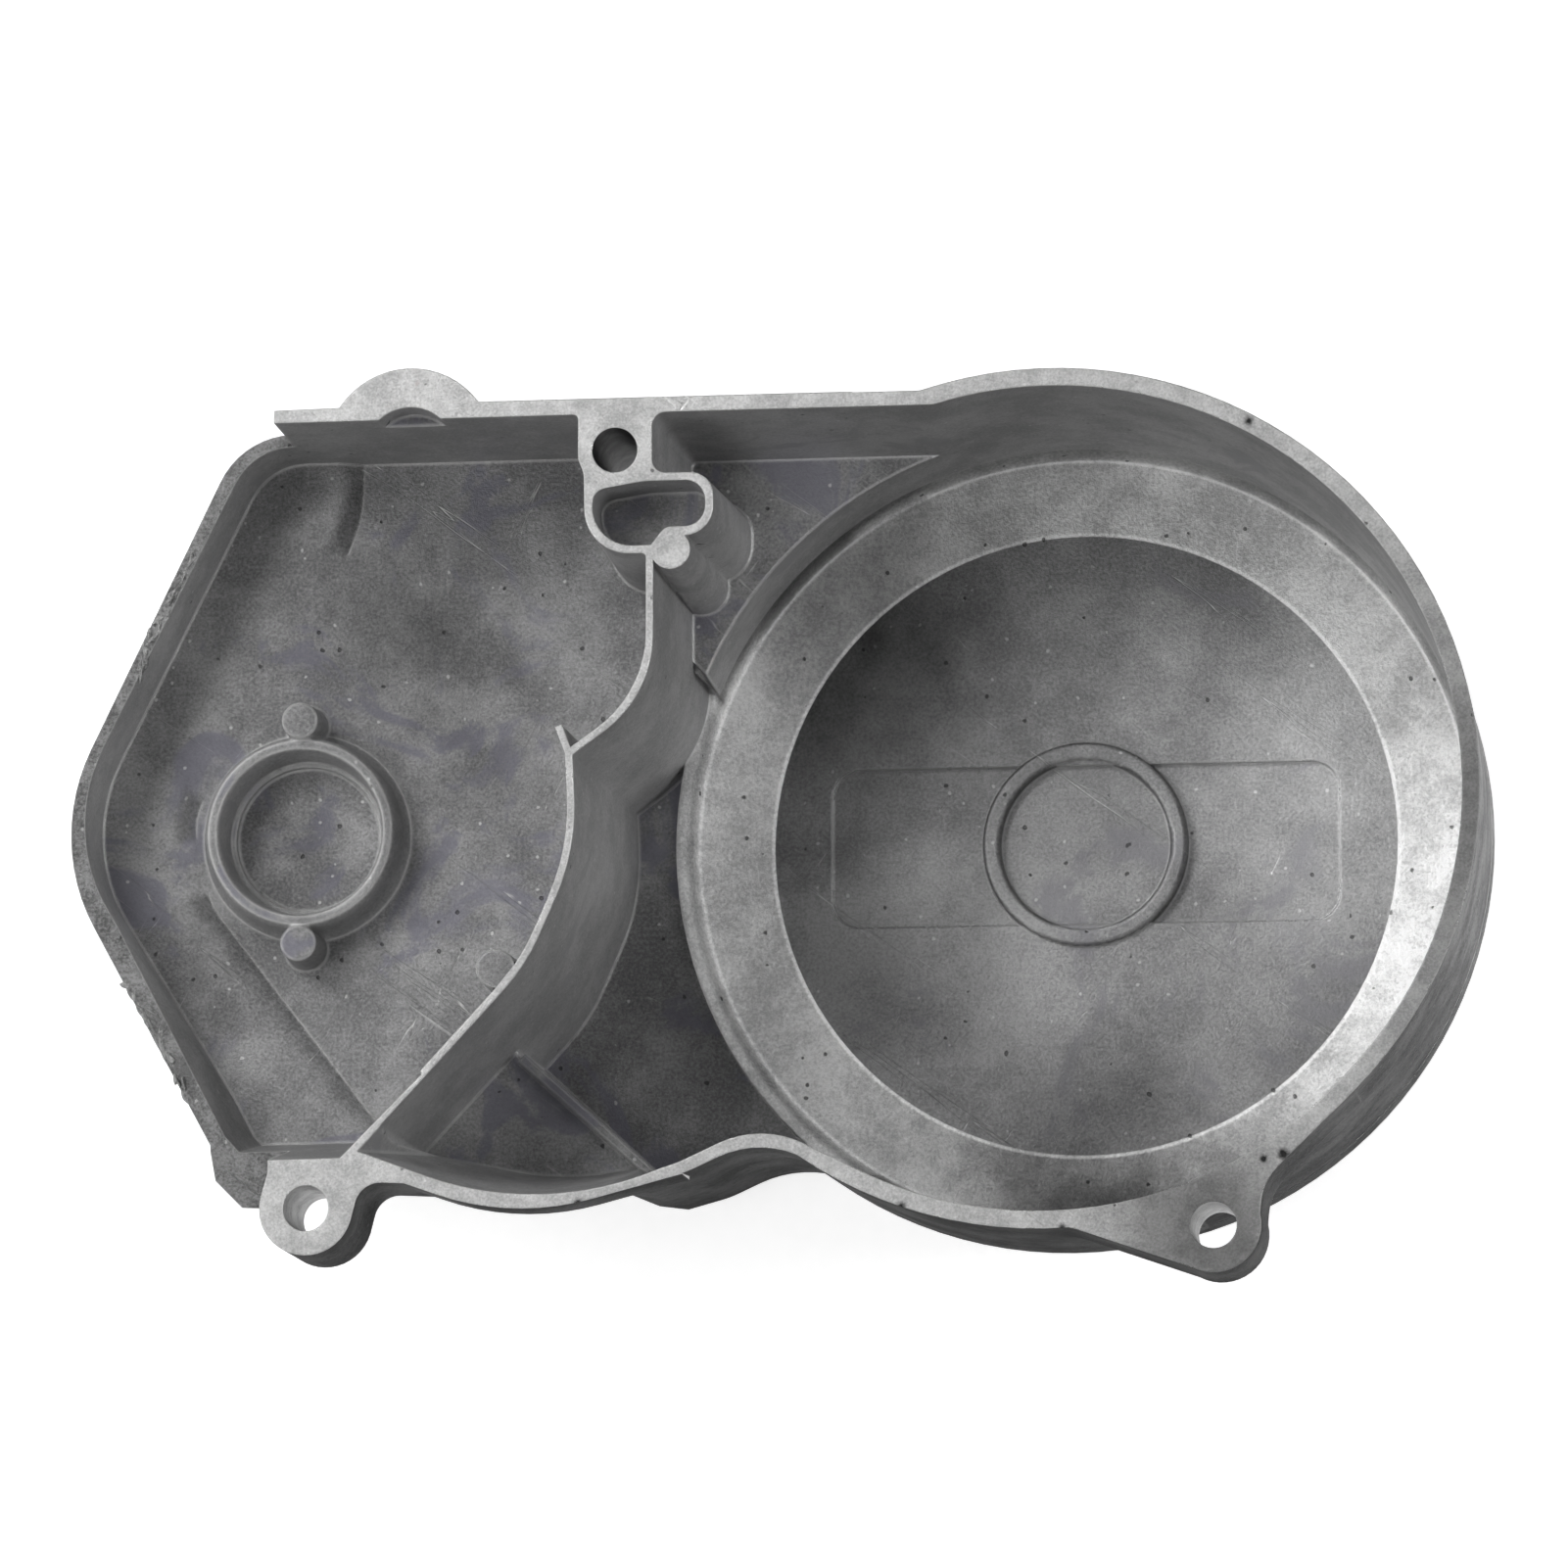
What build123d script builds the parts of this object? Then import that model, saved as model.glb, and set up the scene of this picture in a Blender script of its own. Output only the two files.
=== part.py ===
import os
from math import hypot
from build123d import *

# All lengths are in millimetres. Positions are measured from the axis of the round housing,
# depths from the gasket plane. The cover is built gasket face down, narrowing upward as it is cast,
# and mirrored at the end, which turns the gasket face up.

# Where the frame's origin lies
axis_x = 44.59
axis_y = 2.9

# Drafts, floors and walls
side_draft = 1.0
rib_draft = 2.0
block_draft = 2.8
slope_draft = 11.0
floor_wall = 3.0
bay_floor = 33.0
bay_margin_floor = 31.0
upper_floor = 35.0
deep_floor = 55.0
loop_floor = 10.0
margin_slope = 62.0
rim_flange = 8.0

# Round housing
housing_radius = 65.3
housing_draft = 1.4
housing_draft_drop = 1.4
housing_edge = 6.0
chamber_radius = 62.6
ledge_radius = 62.2
ledge_top = 50.5
ledge_foot_radius = 61.0
ledge_foot = 54.2
ridge_radius = 64.2
ridge_width = 1.4
chamber_floor_radius = 49.1
chamber_floor = 55.6
bulge = (-1.2, -1.5)
bulge_radius = 65.1
bulge_inner_radius = 62.4
bulge_depth = 46.0
panel_length = 80.0
panel_width = 25.2
panel_corner = 4.4
panel_depth = 0.9
panel_rim = 2.0
bead_inner_radius = 13.3
bead_outer_radius = 16.3
bead_height = 1.1

# Bolt holes and the lugs round them
bolt_radius = 3.5
lug_radius = 7.2
left_lug = (-113.8, -61.9)
right_lug = (24.6, -66.4)
boss_hole = (-66.6, 54.2)
left_lug_thickness = 18.0
right_lug_thickness = 15.0
spot_radius = 6.4
spot_depth = 1.0

# Left wall of the chain side, lower than the gasket plane
left_wall_top = 18.0
flange_end = -119.7

# Round seat in the chain side with its two pegs
seat_x = -119.9
seat_outer_radius = 15.1
seat_foot_radius = 16.6
seat_inner_radius = 12.9
seat_step_radius = 12.2
seat_floor_radius = 11.3
seat_top = 26.0
seat_step = 33.4
seat_floor = 34.6
peg_radius = 2.8
peg_foot_radius = 3.3
peg_offset = 17.5
peg_top = 25.2

# Thin divider between the chain side and the housing: corners of its middle line with their radii
divider_half = 0.55
divider_upper = [(-61.2, 35.0, 0.0), (-61.2, 16.2, 18.0), (-73.6, 7.4, 0.0)]
divider_lower = [(-73.6, 7.4, 0.0), (-72.9, -7.5, 34.0), (-80.6, -25.0, 30.0), (-106.1, -52.6, 0.0)]
spur_end = (-75.2, 11.6)
pin_pad = (-84.8, -25.6)
pin_pad_radius = 3.0
post = (-58.0, 38.6)
post_radius = 3.05

# Diagonal rib in the lower pocket
rib_start = (-85.6, -35.4)
rib_end = (-64.8, -54.2)
rib_width = 1.6
rib_top = 31.0

# Tab on the top rim with its scooped pocket
tab = (-98.5, 54.6)
tab_radius = 13.2
tab_foot_radius = 3.0
tab_thickness = 12.0
scoop_radius = 7.1
scoop_depth = 5.5


def level(depth):
    """Plane at a depth below the gasket plane, with the housing's axis as its origin."""
    return Plane(origin=(axis_x, axis_y, depth))


def beside(points, side):
    """Corners of a wall's side, shifted square to the wall's middle line."""
    shifted = []
    for i, (x, y, radius) in enumerate(points):
        before = points[max(i - 1, 0)]
        after = points[min(i + 1, len(points) - 1)]
        along_x = after[0] - before[0]
        along_y = after[1] - before[1]
        length = hypot(along_x, along_y)
        shifted.append((x - along_y / length * side, y + along_x / length * side, radius))
    return shifted


def outline(*corners):
    """Closed outline from corners given as x, y and corner radius, counter-clockwise."""
    with BuildLine() as closed_line:
        FilletPolyline(*[(x, y) for x, y, radius in corners], radius=[radius for x, y, radius in corners], close=True)
    make_face(closed_line.edges())


def turned(centre, profile, mode=Mode.ADD):
    """Body turned about an upright axis from a profile of radii and depths."""
    x = axis_x + centre[0]
    y = axis_y + centre[1]
    with BuildSketch(Plane.XZ.offset(-y)) as section:
        with BuildLine():
            Polyline(*[(x + radius, depth) for radius, depth in profile], close=True)
        make_face()
    revolve(section.sketch, axis=Axis((x, y, 0.0), (0.0, 0.0, 1.0)), mode=mode)


upper_left = beside(divider_upper, -divider_half)
upper_right = beside(divider_upper, divider_half)
lower_left = beside(divider_lower, -divider_half)
lower_right = beside(divider_lower, divider_half)

with BuildPart() as housing:
    wall_foot = housing_radius - housing_draft_drop
    face_depth = chamber_floor + floor_wall
    with BuildSketch(Plane.XZ.offset(-axis_y)):
        with BuildLine():
            FilletPolyline(
                (axis_x, 0.0),
                (axis_x + housing_radius, 0.0),
                (axis_x + wall_foot, face_depth),
                (axis_x, face_depth),
                radius=[0.0, 0.0, housing_edge, 0.0],
                close=True,
            )
        make_face()
    revolve(axis=Axis((axis_x, axis_y, 0.0), (0.0, 0.0, 1.0)))

with BuildPart() as tray:
    with BuildSketch(level(0)):
        outline(
            (-30.0, -50.0, 0.0), (-30.0, 62.4, 0.0), (-88.0, 62.3, 0.0), (-128.2, 61.5, 13.0),
            (-158.6, -1.8, 31.0), (-131.4, -51.8, 2.0), (-122.0, -51.0, 0.0),
        )
    extrude(amount=bay_floor + floor_wall, taper=side_draft)

with BuildPart() as belly:
    belly_corners = [
        (-134.0, -51.0, 0.0), (-133.0, -56.4, 0.0), (-127.8, -61.6, 0.0), (-118.0, -62.0, 0.0), (-104.5, -57.6, 0.0),
        (-99.0, -58.2, 8.0), (-82.0, -64.3, 41.0), (-56.0, -57.5, 0.0), (-56.0, -22.0, 0.0), (-134.0, -22.0, 0.0),
    ]
    with BuildSketch(level(0)):
        outline(*belly_corners)
    extrude(amount=rim_flange)
    with BuildSketch(level(rim_flange)):
        outline(*belly_corners)
    extrude(amount=bay_floor + floor_wall - rim_flange, taper=slope_draft)

with BuildPart() as upper_block:
    with BuildSketch(level(0)):
        outline(
            (-74.0, 62.2, 0.0), (-74.0, 40.0, 6.0), (-62.0, 20.0, 4.0), (-40.0, 20.0, 0.0), (-15.0, 62.3, 0.0),
        )
    extrude(amount=upper_floor + floor_wall, taper=side_draft)

with BuildPart() as deep_block:
    with BuildSketch(level(0)):
        outline(
            (-63.5, 28.0, 4.0), (-75.9, 9.4, 8.0), (-76.9, -3.0, 20.0), (-80.9, -17.0, 20.0), (-91.0, -33.5, 6.0),
            (-69.5, -58.5, 4.0), (-63.0, -59.35, 0.0), (-55.5, -57.3, 20.0), (-44.0, -52.0, 15.0),
            (-28.7, -59.8, 0.0), (-20.0, -60.0, 0.0), (-30.0, 28.0, 0.0),
        )
    extrude(amount=deep_floor + floor_wall, taper=block_draft)

with BuildPart() as bulge_block:
    with BuildSketch(level(0)):
        with Locations(bulge):
            Circle(bulge_radius)
    extrude(amount=bulge_depth, taper=housing_draft)

with BuildPart() as margin:
    with BuildSketch(level(bay_margin_floor)):
        outline(
            (-105.0, 60.6, 0.0), (-127.6, 60.4, 12.0), (-157.3, -1.6, 30.0), (-130.9, -50.2, 2.0), (-104.0, -50.2, 0.0),
        )
    extrude(amount=bay_floor - bay_margin_floor + 0.5)
    # The plateau's edge, a long soft slope
    with BuildSketch(level(bay_margin_floor)):
        outline(
            (-85.0, 80.0, 0.0), (-115.0, 80.0, 0.0), (-115.0, 50.0, 20.0), (-142.2, 4.0, 14.0), (-138.6, -12.0, 16.0),
            (-85.0, -81.9, 0.0),
        )
    extrude(amount=bay_floor - bay_margin_floor + 0.5, taper=margin_slope, mode=Mode.SUBTRACT)

with BuildPart() as cover:
    add(housing.part)
    add(bulge_block.part)
    add(tray.part)
    add(belly.part)
    add(upper_block.part)
    add(deep_block.part)
    # The left wall stands lower than the gasket plane
    with BuildSketch(level(0)):
        Polygon((-170.0, -75.0), (flange_end, -75.0), (flange_end, 75.0), (-170.0, 75.0), align=None)
    extrude(amount=left_wall_top, mode=Mode.SUBTRACT)
    # Lugs with their flanks, and the tab on the top rim
    with BuildSketch(level(0)):
        with Locations(left_lug):
            Circle(lug_radius)
        outline(
            (-120.9, -60.5, 0.0), (-112.0, -68.0, 0.0), (-106.9, -64.0, 0.0), (-105.4, -58.0, 4.0), (-97.0, -58.4, 0.0),
            (-98.5, -50.0, 0.0), (-106.4, -46.0, 0.0), (-117.9, -50.0, 0.0), (-119.9, -57.0, 0.0),
        )
    extrude(amount=left_lug_thickness)
    with BuildSketch(level(0)):
        with Locations(right_lug):
            Circle(lug_radius)
        outline(
            (31.5, -66.5, 0.0), (32.0, -60.0, 9.0), (46.0, -46.3, 0.0), (20.0, -30.0, 0.0), (-16.0, -45.0, 0.0),
            (-17.4, -64.2, 0.0), (-9.8, -65.9, 0.0), (2.6, -66.3, 12.0), (22.2, -73.1, 0.0),
        )
    extrude(amount=right_lug_thickness)
    with BuildSketch(level(0)):
        outline((-117.0, 60.2, 0.0), (-80.0, 60.2, 0.0), (-80.0, 62.3, 0.0), (-117.0, 61.7, 0.0))
        with Locations(tab):
            Circle(tab_radius)
        fillet(vertices().filter_by(lambda v: v.Y - axis_y > 61.0 and abs(v.X - axis_x - tab[0]) < 13.0), tab_foot_radius)
    extrude(amount=tab_thickness)
    # Pocket of the chain side, with a slope along its lower walls
    with BuildSketch(level(0)):
        outline(
            (-72.3, 59.9, 0.8), (-126.5, 59.7, 10.5), (-156.5, -0.6, 27.0), (-128.0, -46.9, 7.0), (-102.9, -48.3, 1.0),
            lower_left[2], lower_left[1], (-74.18, 7.66, 0.5), upper_left[1],
            (-61.75, 38.1, 0.8), (-71.2, 38.1, 7.0), (-71.4, 50.6, 3.0), (-72.3, 53.0, 3.0),
        )
    extrude(amount=bay_floor, taper=side_draft, mode=Mode.SUBTRACT)
    with BuildSketch(level(0)):
        outline(
            (-153.0, -11.7, 0.0), (-132.7, -50.6, 0.0), (-129.0, -54.6, 0.0), (-108.6, -54.3, 0.0), (-96.0, -41.6, 0.0),
            (-106.0, -15.0, 0.0), (-146.0, 0.0, 0.0),
        )
    extrude(amount=bay_margin_floor, taper=slope_draft, mode=Mode.SUBTRACT)
    add(margin.part)
    # Lower pocket, with the same slope along the rim
    with BuildSketch(level(0)):
        outline(
            (-84.8, -30.4, 0.0), (-103.9, -51.0, 1.4), (-86.0, -54.3, 12.0), (-66.0, -54.4, 0.0), (-60.0, -50.0, 0.0),
            (-80.0, -30.0, 0.0),
        )
    extrude(amount=bay_floor, taper=rib_draft, mode=Mode.SUBTRACT)
    with BuildSketch(level(0)):
        outline(
            (-105.9, -53.3, 0.0), (-77.2, -64.0, 50.0), (-55.0, -54.8, 0.0), (-55.0, -40.0, 0.0), (-90.0, -36.0, 0.0),
        )
    extrude(amount=bay_floor, taper=slope_draft, mode=Mode.SUBTRACT)
    # Pocket under the top wall, round the boss, the loop rib and the post
    with BuildSketch(level(0)):
        outline(
            (-16.0, 60.1, 0.0), (-60.9, 60.0, 2.2), (-60.9, 50.5, 2.2), (-51.4, 50.5, 3.6), (-51.4, 40.7, 4.5),
            (-60.65, 40.7, 0.0), upper_right[1], (-71.6, 8.1, 0.0), (-50.0, 0.0, 0.0), (-20.0, 30.0, 0.0),
            (-12.0, 50.0, 0.0),
        )
    extrude(amount=upper_floor, taper=rib_draft, mode=Mode.SUBTRACT)
    turned(post, [(0.0, 0.0), (post_radius, 0.0), (post_radius + 1.2, upper_floor + 0.5), (0.0, upper_floor + 0.5)])
    # Deep pocket between the divider and the housing
    with BuildSketch(level(0)):
        outline(
            (-50.0, 18.8, 0.0), (-60.65, 30.2, 0.0), upper_right[1], (-73.05, 7.1, 0.0), lower_right[1], lower_right[2],
            (-88.5, -34.4, 2.0), (-66.0, -55.3, 0.0), (-62.6, -57.5, 0.0), (-57.0, -55.9, 20.0), (-43.9, -49.9, 15.0),
            (-28.7, -57.5, 0.0), (-15.0, -48.0, 0.0),
        )
    extrude(amount=deep_floor, taper=rib_draft, mode=Mode.SUBTRACT)
    # Flywheel chamber with its bevelled ledge and sloping band
    with BuildSketch(level(0)):
        with Locations(bulge):
            Circle(bulge_inner_radius)
    extrude(amount=bulge_depth, taper=side_draft, mode=Mode.SUBTRACT)
    turned(
        (0.0, 0.0),
        [
            (0.0, 0.0), (chamber_radius, 0.0), (ledge_radius, ledge_top), (ledge_foot_radius, ledge_foot),
            (chamber_floor_radius, chamber_floor), (0.0, chamber_floor),
        ],
        mode=Mode.SUBTRACT,
    )
    turned(
        (0.0, 0.0),
        [
            (chamber_floor_radius, chamber_floor + 0.5), (chamber_floor_radius, chamber_floor),
            (ledge_foot_radius, ledge_foot), (ridge_radius - ridge_width, ledge_top),
            (ridge_radius, ledge_top), (ridge_radius, chamber_floor + 0.5),
        ],
    )
    # Panel pressed into the chamber's floor and standing out on the outer face
    with BuildSketch(level(chamber_floor)):
        RectangleRounded(panel_length, panel_width, panel_corner)
    extrude(amount=panel_depth, mode=Mode.SUBTRACT)
    with BuildSketch(level(chamber_floor + floor_wall)):
        RectangleRounded(panel_length + panel_rim, panel_width + panel_rim, panel_corner + panel_rim / 2)
    extrude(amount=panel_depth, taper=slope_draft)
    bead_top = chamber_floor - bead_height
    turned(
        (0.0, 0.0),
        [
            (bead_inner_radius, chamber_floor + panel_depth + 0.1), (bead_inner_radius + 0.2, bead_top + 0.4),
            (bead_inner_radius + 0.9, bead_top), (bead_outer_radius - 0.9, bead_top),
            (bead_outer_radius - 0.2, bead_top + 0.4), (bead_outer_radius, chamber_floor + panel_depth + 0.1),
        ],
    )
    # Pocket inside the loop rib, and the scoop in the tab
    with BuildSketch(level(0)):
        outline(
            (-52.6, 49.3, 3.2), (-62.0, 49.3, 8.0), (-70.1, 48.0, 2.4), (-70.1, 39.3, 6.2), (-61.0, 39.3, 0.0),
            (-58.8, 42.1, 2.0), (-52.6, 42.1, 3.2),
        )
    extrude(amount=loop_floor, mode=Mode.SUBTRACT)
    with BuildSketch(level(0)):
        with Locations(tab):
            Circle(scoop_radius)
    extrude(amount=scoop_depth, taper=side_draft, mode=Mode.SUBTRACT)
    # Spur and pin pad on the divider, rib across the lower pocket
    with BuildSketch(level(0)):
        spur = [divider_lower[0], (spur_end[0], spur_end[1], 0.0)]
        outline(*beside(spur, -divider_half), *beside(spur, divider_half)[::-1])
    extrude(amount=bay_floor + 0.5)
    turned(pin_pad, [(0.0, 0.0), (pin_pad_radius, 0.0), (pin_pad_radius + 0.5, bay_floor + 0.5), (0.0, bay_floor + 0.5)])
    with BuildSketch(level(rib_top)):
        rib = [(rib_start[0], rib_start[1], 0.0), (rib_end[0], rib_end[1], 0.0)]
        outline(*beside(rib, -rib_width / 2), *beside(rib, rib_width / 2)[::-1])
    extrude(amount=bay_floor - rib_top + 1.0)
    # Round seat with its step, its disc on the outer face and its two pegs
    seat = (seat_x, -0.1)
    turned(seat, [(0.0, 34.0), (seat_foot_radius + 1.0, 34.0), (seat_foot_radius, 38.0), (0.0, 38.0)])
    turned(
        seat,
        [
            (seat_step_radius, bay_floor + 0.2), (seat_inner_radius, seat_top + 0.4), (seat_inner_radius + 0.4, seat_top),
            (seat_outer_radius - 0.7, seat_top), (seat_outer_radius - 0.1, seat_top + 0.6),
            (seat_outer_radius + 0.5, bay_floor - 1.2), (seat_foot_radius, bay_floor + 0.2),
        ],
    )
    turned(seat, [(0.0, 32.0), (seat_step_radius, 32.0), (seat_step_radius, seat_step), (0.0, seat_step)], mode=Mode.SUBTRACT)
    turned(
        seat,
        [(0.0, 32.0), (seat_floor_radius + 0.3, 32.0), (seat_floor_radius, seat_floor), (0.0, seat_floor)],
        mode=Mode.SUBTRACT,
    )
    for side in (-1, 1):
        peg = (seat_x, side * peg_offset - 0.1)
        turned(peg, [(0.0, peg_top), (peg_radius, peg_top), (peg_foot_radius, bay_floor + 0.2), (0.0, bay_floor + 0.2)])
    # Bolt holes, with room for the bolt heads on the outer side
    with BuildSketch(level(0)):
        with Locations(left_lug, right_lug, boss_hole):
            Circle(bolt_radius)
    extrude(amount=chamber_floor, mode=Mode.SUBTRACT)
    with BuildSketch(level(left_lug_thickness)):
        with Locations(left_lug):
            Circle(spot_radius)
    extrude(amount=20.0, mode=Mode.SUBTRACT)
    with BuildSketch(level(right_lug_thickness)):
        with Locations(right_lug):
            Circle(spot_radius)
    extrude(amount=50.0, mode=Mode.SUBTRACT)
    with BuildSketch(level(upper_floor + floor_wall - spot_depth)):
        with Locations(boss_hole):
            Circle(spot_radius)
    extrude(amount=5.0, mode=Mode.SUBTRACT)

cover_depth = chamber_floor + floor_wall + panel_depth
with BuildPart() as stator_cover:
    mirror(cover.part, about=Plane.XY.offset(cover_depth / 2))

stator_cover.part.label = "stator_cover"
os.makedirs("parts", exist_ok=True)
export_step(stator_cover.part, "parts/stator_cover.step")
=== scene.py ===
import bpy
import bmesh
import math
from mathutils import Matrix, Vector
from mathutils.bvhtree import BVHTree


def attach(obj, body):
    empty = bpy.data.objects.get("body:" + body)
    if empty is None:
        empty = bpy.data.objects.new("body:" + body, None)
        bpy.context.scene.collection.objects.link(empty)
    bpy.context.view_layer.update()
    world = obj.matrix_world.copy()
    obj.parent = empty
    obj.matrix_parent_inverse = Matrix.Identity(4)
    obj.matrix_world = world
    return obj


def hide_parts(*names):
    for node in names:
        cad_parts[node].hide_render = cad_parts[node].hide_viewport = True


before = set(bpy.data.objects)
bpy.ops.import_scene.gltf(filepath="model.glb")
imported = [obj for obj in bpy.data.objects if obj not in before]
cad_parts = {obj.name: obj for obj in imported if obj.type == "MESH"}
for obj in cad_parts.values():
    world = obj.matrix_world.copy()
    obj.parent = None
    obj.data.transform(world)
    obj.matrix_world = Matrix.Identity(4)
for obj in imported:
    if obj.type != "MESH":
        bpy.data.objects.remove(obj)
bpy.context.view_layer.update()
print("frame loaded")

housingAxis = Vector((0.04459, 0.0029, 0.0595))  # the round housing's axis in the gasket plane

photo = {
    "eye": (0.1513, -0.2268, 1.459),  # the camera, measured from the housing's axis
    "right": (0.99148, 0.0, -0.1303),
    "up": (0.02001, 0.98813, 0.15225),
    "back": (0.12875, -0.15356, 0.9797),
    "lens": 224.86,
    "sensor": 36.0,
    "near": 0.1,
    "far": 20.0,
}


def makeCamera():
    camera = bpy.data.objects.new("camera", bpy.data.cameras.new("camera"))
    camera.data.lens = photo["lens"]
    camera.data.sensor_width = photo["sensor"]
    camera.data.clip_start = photo["near"]
    camera.data.clip_end = photo["far"]
    right, up, back = (Vector(photo[axis]).normalized() for axis in ("right", "up", "back"))
    turn = Matrix((right, up, back)).transposed().to_4x4()
    camera.matrix_world = Matrix.Translation(housingAxis + Vector(photo["eye"])) @ turn
    bpy.context.collection.objects.link(camera)
    bpy.context.scene.camera = camera


lights = {
    "fill": 0.05,
    "aim": (0.0, 0.0, 0.03),
    "distance": 1.2,
    "lamps": {
        # name: azimuth from +X, elevation, size, power
        "leftBack": (135, 43, 0.65, 7.4),
        "left": (192, 41, 0.65, 4.4),
        "rightBack": (45, 58, 0.4, 1.2),
        "front": (270, 73, 0.4, 0.7),
        "frontLeft": (225, 73, 0.4, 0.55),
        "right": (0, 28, 0.4, 5.2),
        "frontLow": (270, 35, 0.5, 1.6),
    },
}


def makeLights():
    world = bpy.data.worlds.new("studio")
    bpy.context.scene.world = world
    world.use_nodes = True
    sky = world.node_tree.nodes["Background"]
    sky.inputs["Color"].default_value = (1, 1, 1, 1)
    sky.inputs["Strength"].default_value = lights["fill"]
    for name, (azimuth, elevation, size, power) in lights["lamps"].items():
        around, above = math.radians(azimuth), math.radians(elevation)
        lamp = bpy.data.objects.new(name, bpy.data.lights.new(name, "AREA"))
        lamp.data.energy = power
        lamp.data.size = size
        toward = Vector((math.cos(around) * math.cos(above), math.sin(around) * math.cos(above), math.sin(above)))
        lamp.location = Vector(lights["aim"]) + toward * lights["distance"]
        lamp.rotation_euler = toward.to_track_quat("Z", "Y").to_euler()
        bpy.context.collection.objects.link(lamp)


# Helpers for node trees: each makes nodes, sets their options and joins or fills their inputs

def put(tree, kind, inputs=None, **options):
    node = tree.nodes.new(kind)
    for key, value in options.items():
        setattr(node, key, value)
    for socket, source in (inputs or {}).items():
        if isinstance(source, bpy.types.NodeSocket):
            tree.links.new(source, node.inputs[socket])
        else:
            node.inputs[socket].default_value = source
    return node


def calc(tree, operation, a, b=0.0, c=None, clamp=False):
    inputs = {0: a, 1: b}
    if c is not None:
        inputs[2] = c
    return put(tree, "ShaderNodeMath", inputs, operation=operation, use_clamp=clamp).outputs[0]


def vectorCalc(tree, operation, inputs):
    return put(tree, "ShaderNodeVectorMath", inputs, operation=operation).outputs


def noise(tree, vector, scale, detail, rough=0.5, twist=0.0):
    inputs = {"Vector": vector, "Scale": scale, "Detail": detail, "Roughness": rough, "Distortion": twist}
    return put(tree, "ShaderNodeTexNoise", inputs).outputs


def ramp(tree, value, low, high, outLow=0.0, outHigh=1.0):
    inputs = {"Value": value, "From Min": low, "From Max": high, "To Min": outLow, "To Max": outHigh}
    return put(tree, "ShaderNodeMapRange", inputs, interpolation_type="SMOOTHSTEP").outputs["Result"]


def blend(tree, mask, a, b):
    return put(tree, "ShaderNodeMix", {0: mask, 6: a, 7: b}, data_type="RGBA").outputs[2]


def newGroup(name, ins, outs):
    # inputs with a number are floats, and those with None vectors
    tree = bpy.data.node_groups.new(name, "ShaderNodeTree")
    for label, value in ins.items():
        kind = "NodeSocketVector" if value is None else "NodeSocketFloat"
        socket = tree.interface.new_socket(label, in_out="INPUT", socket_type=kind)
        if value is not None:
            socket.default_value = value
    for label in outs:
        kind = "NodeSocketVector" if label == "Normal" else "NodeSocketFloat"
        tree.interface.new_socket(label, in_out="OUTPUT", socket_type=kind)
    return tree, tree.nodes.new("NodeGroupInput").outputs, tree.nodes.new("NodeGroupOutput").inputs


def useGroup(tree, group, inputs):
    return put(tree, "ShaderNodeGroup", inputs, node_tree=group).outputs


# Effects that several finishes share, each with its own fixed values

castGrain = {
    "patchDetail": 7.0, "patchRough": 0.72, "patchFrom": 0.34, "patchTo": 0.66,
    "grainDetail": 4.0, "grainRough": 0.75,
    "patchHeight": 0.5,  # against the grain's height
}


def castGrainGroup():
    # cloudy patches of the cast skin, its fine grain and the height of both
    tree, ins, outs = newGroup("castGrain", {"Vector": None, "Patch Size": 0.02, "Grain Size": 0.0004},
                               ("Patches", "Grain", "Height"))
    patchScale = calc(tree, "DIVIDE", 1.0, ins["Patch Size"])
    grainScale = calc(tree, "DIVIDE", 1.0, ins["Grain Size"])
    patches = noise(tree, ins["Vector"], patchScale, castGrain["patchDetail"], castGrain["patchRough"])["Fac"]
    grain = noise(tree, ins["Vector"], grainScale, castGrain["grainDetail"], castGrain["grainRough"])["Fac"]
    tree.links.new(ramp(tree, patches, castGrain["patchFrom"], castGrain["patchTo"]), outs["Patches"])
    tree.links.new(grain, outs["Grain"])
    tree.links.new(calc(tree, "MULTIPLY_ADD", patches, castGrain["patchHeight"], grain), outs["Height"])
    return tree


filmStains = {
    "detail": 5.0, "rough": 0.62, "twist": 1.1,
    "start": 0.78, "perCover": 0.55,  # more cover starts the stain at a lower value
    "below": 0.035, "above": 0.05,
}


def stainGroup():
    # thin film left by oil and heat
    tree, ins, outs = newGroup("filmStains", {"Vector": None, "Size": 0.018, "Cover": 0.45}, ("Mask",))
    scale = calc(tree, "DIVIDE", 1.0, ins["Size"])
    wide = noise(tree, ins["Vector"], scale, filmStains["detail"], filmStains["rough"], filmStains["twist"])["Fac"]
    edge = calc(tree, "SUBTRACT", filmStains["start"], calc(tree, "MULTIPLY", ins["Cover"], filmStains["perCover"]))
    low = calc(tree, "SUBTRACT", edge, filmStains["below"])
    high = calc(tree, "ADD", edge, filmStains["above"])
    tree.links.new(ramp(tree, wide, low, high), outs["Mask"])
    return tree


scratchLines = {
    "depthScale": 40.0,
    "detail": 1.0, "rough": 0.4, "thin": 0.012,
    "gateScale": 0.35, "gateDetail": 2.0,
    "start": 0.8, "perCover": 0.5, "fade": 0.08,
}


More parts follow.
